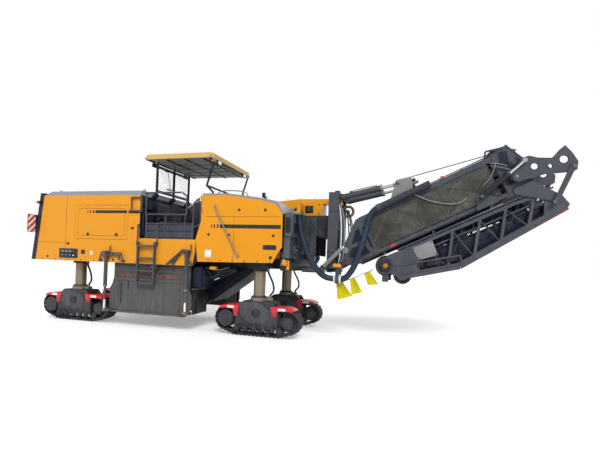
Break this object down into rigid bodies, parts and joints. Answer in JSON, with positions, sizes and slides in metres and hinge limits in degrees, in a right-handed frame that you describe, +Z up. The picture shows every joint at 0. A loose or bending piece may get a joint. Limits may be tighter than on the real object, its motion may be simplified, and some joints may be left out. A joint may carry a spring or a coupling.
{
  "type": "crawler cold planer milling machine",
  "caption": "Self-propelled cold planer on four tracks with lifting columns, a canopied operator's platform and a folding front discharge conveyor.",
  "frame": {"origin": "on the ground, below the middle of the whole machine's box", "axes": "+X forward along the machine, towards the discharge conveyor's end; +Y to the machine's left; +Z up"},
  "size_m": [11.04, 2.9, 3.754],
  "materials": {
    "yellow_paint": "gloss",
    "canopy_paint": "satin",
    "roof_paint": "satin",
    "dark_paint": "satin",
    "housing_paint": "satin",
    "frame_grey": "satin",
    "steel": "worn",
    "chrome": "polished",
    "track_steel": "rough",
    "belt_rubber": "matt",
    "hose_rubber": "matt",
    "canvas": "matt",
    "flag_fabric": "matt",
    "console_plastic": "matt"
  },
  "bodies": {
    "chassis": {"collecting_belt": "belt_rubber", "collecting_conveyor": "dark_paint", "control_console": "console_plastic", "drum_housing": "housing_paint", "engine_block": "track_steel", "front_cabinets": "frame_grey", "front_hood": "yellow_paint", "front_roof": "roof_paint", "leg_hose_front_left": "hose_rubber", "leg_hose_front_right": "hose_rubber", "leg_hose_rear_left": "hose_rubber", "leg_hose_rear_right": "hose_rubber", "main_frame": "dark_paint", "mast_beam": "yellow_paint", "plate_lift_cylinders": "frame_grey", "platform_base": "yellow_paint", "platform_rails": "frame_grey", "radiator_frame": "dark_paint", "rear_hood": "yellow_paint", "rear_roof": "roof_paint", "suction_hose_lower": "hose_rubber"},
    "leg_front_right": {"lift_column_front_right": "steel"},
    "track_front_right": {"track_frame_front_right": "frame_grey", "track_belt_front_right": "track_steel"},
    "leg_front_left": {"lift_column_front_left": "steel"},
    "track_front_left": {"track_frame_front_left": "frame_grey", "track_belt_front_left": "track_steel"},
    "leg_rear_right": {"lift_column_rear_right": "steel"},
    "track_rear_right": {"track_frame_rear_right": "frame_grey", "track_belt_rear_right": "track_steel"},
    "leg_rear_left": {"lift_column_rear_left": "steel"},
    "track_rear_left": {"track_frame_rear_left": "frame_grey", "track_belt_rear_left": "track_steel"},
    "drum": {"milling_drum": "track_steel"},
    "side_plate_right": {"side_plate_right": "housing_paint"},
    "service_hatch_right": {"service_hatch_right": "yellow_paint"},
    "side_plate_left": {"side_plate_left": "housing_paint"},
    "service_hatch_left": {"service_hatch_left": "yellow_paint"},
    "scraper": {"scraper_blade": "housing_paint"},
    "ladder": {"boarding_ladder": "frame_grey"},
    "windscreen": {"windscreen_frame": "frame_grey"},
    "canopy_posts": {"canopy_front_posts": "frame_grey"},
    "canopy": {"canopy_roof": "canopy_paint"},
    "mast": {"slew_mast": "dark_paint", "marker_flags": "flag_fabric", "suction_hose_upper": "hose_rubber"},
    "section_1": {"conveyor_section_1": "dark_paint", "conveyor_belt_1": "belt_rubber", "conveyor_covers": "canvas", "hoist_bridge": "frame_grey"},
    "section_2": {"conveyor_section_2": "dark_paint", "conveyor_belt_2": "belt_rubber"},
    "support_wheel": {"support_wheels": "belt_rubber"},
    "hoist_barrel": {"hoist_barrels": "frame_grey"},
    "hoist_rod": {"hoist_rods": "chrome"},
    "fold_arm": {"fold_arm": "dark_paint"},
    "fold_link": {"fold_link": "frame_grey"},
    "fold_barrel": {"fold_barrels": "dark_paint"},
    "fold_rod": {"fold_rods": "chrome"}
  },
  "joints": [
    {"name": "lift_front_right", "type": "slide", "parent": "chassis", "child": "leg_front_right", "axis": [0, 0, -1], "range_m": [-0.2, 0.15], "deforming": ["leg_hose_front_right"]},
    {"name": "steer_front_right", "type": "hinge", "parent": "leg_front_right", "child": "track_front_right", "pos_m": [-0.07, -0.9, 0.7], "axis": [0, 0, 1], "range_deg": [-18, 18]},
    {"name": "lift_front_left", "type": "slide", "parent": "chassis", "child": "leg_front_left", "axis": [0, 0, -1], "range_m": [-0.2, 0.15], "deforming": ["leg_hose_front_left"]},
    {"name": "steer_front_left", "type": "hinge", "parent": "leg_front_left", "child": "track_front_left", "pos_m": [-0.07, 0.9, 0.7], "axis": [0, 0, 1], "range_deg": [-18, 18]},
    {"name": "lift_rear_right", "type": "slide", "parent": "chassis", "child": "leg_rear_right", "axis": [0, 0, -1], "range_m": [-0.2, 0.15], "deforming": ["leg_hose_rear_right"]},
    {"name": "steer_rear_right", "type": "hinge", "parent": "leg_rear_right", "child": "track_rear_right", "pos_m": [-4.45, -0.9, 0.7], "axis": [0, 0, 1], "range_deg": [-12, 12]},
    {"name": "lift_rear_left", "type": "slide", "parent": "chassis", "child": "leg_rear_left", "axis": [0, 0, -1], "range_m": [-0.2, 0.15], "deforming": ["leg_hose_rear_left"]},
    {"name": "steer_rear_left", "type": "hinge", "parent": "leg_rear_left", "child": "track_rear_left", "pos_m": [-4.45, 0.9, 0.7], "axis": [0, 0, 1], "range_deg": [-12, 12]},
    {"name": "drum_spin", "type": "hinge", "parent": "chassis", "child": "drum", "pos_m": [-2.4, 0, 0.7], "axis": [0, 1, 0], "continuous": true},
    {"name": "side_plate_lift_right", "type": "slide", "parent": "chassis", "child": "side_plate_right", "axis": [0, 0, 1], "range_m": [0, 0.2]},
    {"name": "hatch_right", "type": "hinge", "parent": "chassis", "child": "service_hatch_right", "pos_m": [-3.645, -1.2583, 2.583], "axis": [-1, 0, 0], "range_deg": [0, 75]},
    {"name": "side_plate_lift_left", "type": "slide", "parent": "chassis", "child": "side_plate_left", "axis": [0, 0, 1], "range_m": [0, 0.2]},
    {"name": "hatch_left", "type": "hinge", "parent": "chassis", "child": "service_hatch_left", "pos_m": [-3.645, 1.2583, 2.583], "axis": [1, 0, 0], "range_deg": [0, 75]},
    {"name": "scraper_float", "type": "slide", "parent": "chassis", "child": "scraper", "axis": [0, 0, 1], "range_m": [0, 0.16]},
    {"name": "ladder_fold", "type": "hinge", "parent": "chassis", "child": "ladder", "pos_m": [-2.44, -1.312, 1.76], "axis": [-1, 0, 0], "range_deg": [0, 90]},
    {"name": "canopy_lower", "type": "hinge", "parent": "chassis", "child": "windscreen", "pos_m": [-2.57, -0.2, 2.84], "axis": [0, 1, 0], "range_deg": [0, 72]},
    {"name": "canopy_front_swing", "type": "hinge", "parent": "chassis", "child": "canopy_posts", "pos_m": [-1.195, 0, 2.84], "axis": [0, 1, 0], "range_deg": [0, 72]},
    {"name": "canopy_level", "type": "hinge", "parent": "windscreen", "child": "canopy", "pos_m": [-2.57, -0.2, 3.55], "axis": [0, 1, 0], "range_deg": [-72, 0]},
    {"name": "slew", "type": "hinge", "parent": "chassis", "child": "mast", "pos_m": [1.29, 0, 1.4], "axis": [0, 0, 1], "range_deg": [-25, 25], "deforming": ["suction_hose_lower"]},
    {"name": "luff", "type": "hinge", "parent": "mast", "child": "section_1", "pos_m": [1.56, 0, 1.62], "axis": [0, -1, 0], "range_deg": [-10, 10], "deforming": ["suction_hose_upper"]},
    {"name": "fold", "type": "hinge", "parent": "section_1", "child": "section_2", "pos_m": [5.25, 0, 2.8], "axis": [0, -1, 0], "range_deg": [0, 172]},
    {"name": "wheel_spin", "type": "hinge", "parent": "section_2", "child": "support_wheel", "pos_m": [2.68, 0, 1.325], "axis": [0, 1, 0], "continuous": true},
    {"name": "hoist_barrel_swing", "type": "hinge", "parent": "mast", "child": "hoist_barrel", "pos_m": [1.45, 0, 2.86], "axis": [0, -1, 0], "range_deg": [-13, 13]},
    {"name": "hoist_rod_slide", "type": "slide", "parent": "hoist_barrel", "child": "hoist_rod", "axis": [0.9738, 0, 0.2275], "range_m": [-0.24, 0.24]},
    {"name": "fold_arm_swing", "type": "hinge", "parent": "section_1", "child": "fold_arm", "pos_m": [4.57, 0, 3.13], "axis": [0, -1, 0], "range_deg": [0, 17.8]},
    {"name": "fold_link_swing", "type": "hinge", "parent": "fold_arm", "child": "fold_link", "pos_m": [5.455, 0, 3.31], "axis": [0, -1, 0], "range_deg": [0, 5.7]},
    {"name": "fold_barrel_swing", "type": "hinge", "parent": "section_1", "child": "fold_barrel", "pos_m": [4.01, 0, 2.79], "axis": [0, -1, 0], "range_deg": [0, 5.9]},
    {"name": "fold_rod_slide", "type": "slide", "parent": "fold_barrel", "child": "fold_rod", "axis": [0.7285, 0, 0.685], "range_m": [-0.053, 0]}
  ],
  "couplings": [
    {"joint": "steer_front_left", "follows": "steer_front_right", "ratio": 1},
    {"joint": "steer_rear_left", "follows": "steer_rear_right", "ratio": 1},
    {"joint": "canopy_front_swing", "follows": "canopy_lower", "ratio": 1},
    {"joint": "canopy_level", "follows": "canopy_lower", "ratio": -1},
    {"joint": "hoist_barrel_swing", "follows": "luff", "ratio": 1.1838},
    {"joint": "hoist_rod_slide", "follows": "luff", "m_per_rad": -1.2225},
    {"joint": "fold_arm_swing", "follows": "fold", "ratio": 0.09747},
    {"joint": "fold_link_swing", "follows": "fold", "ratio": 0.02756},
    {"joint": "fold_barrel_swing", "follows": "fold", "ratio": 0.02856},
    {"joint": "fold_rod_slide", "follows": "fold", "m_per_rad": -0.01594}
  ]
}
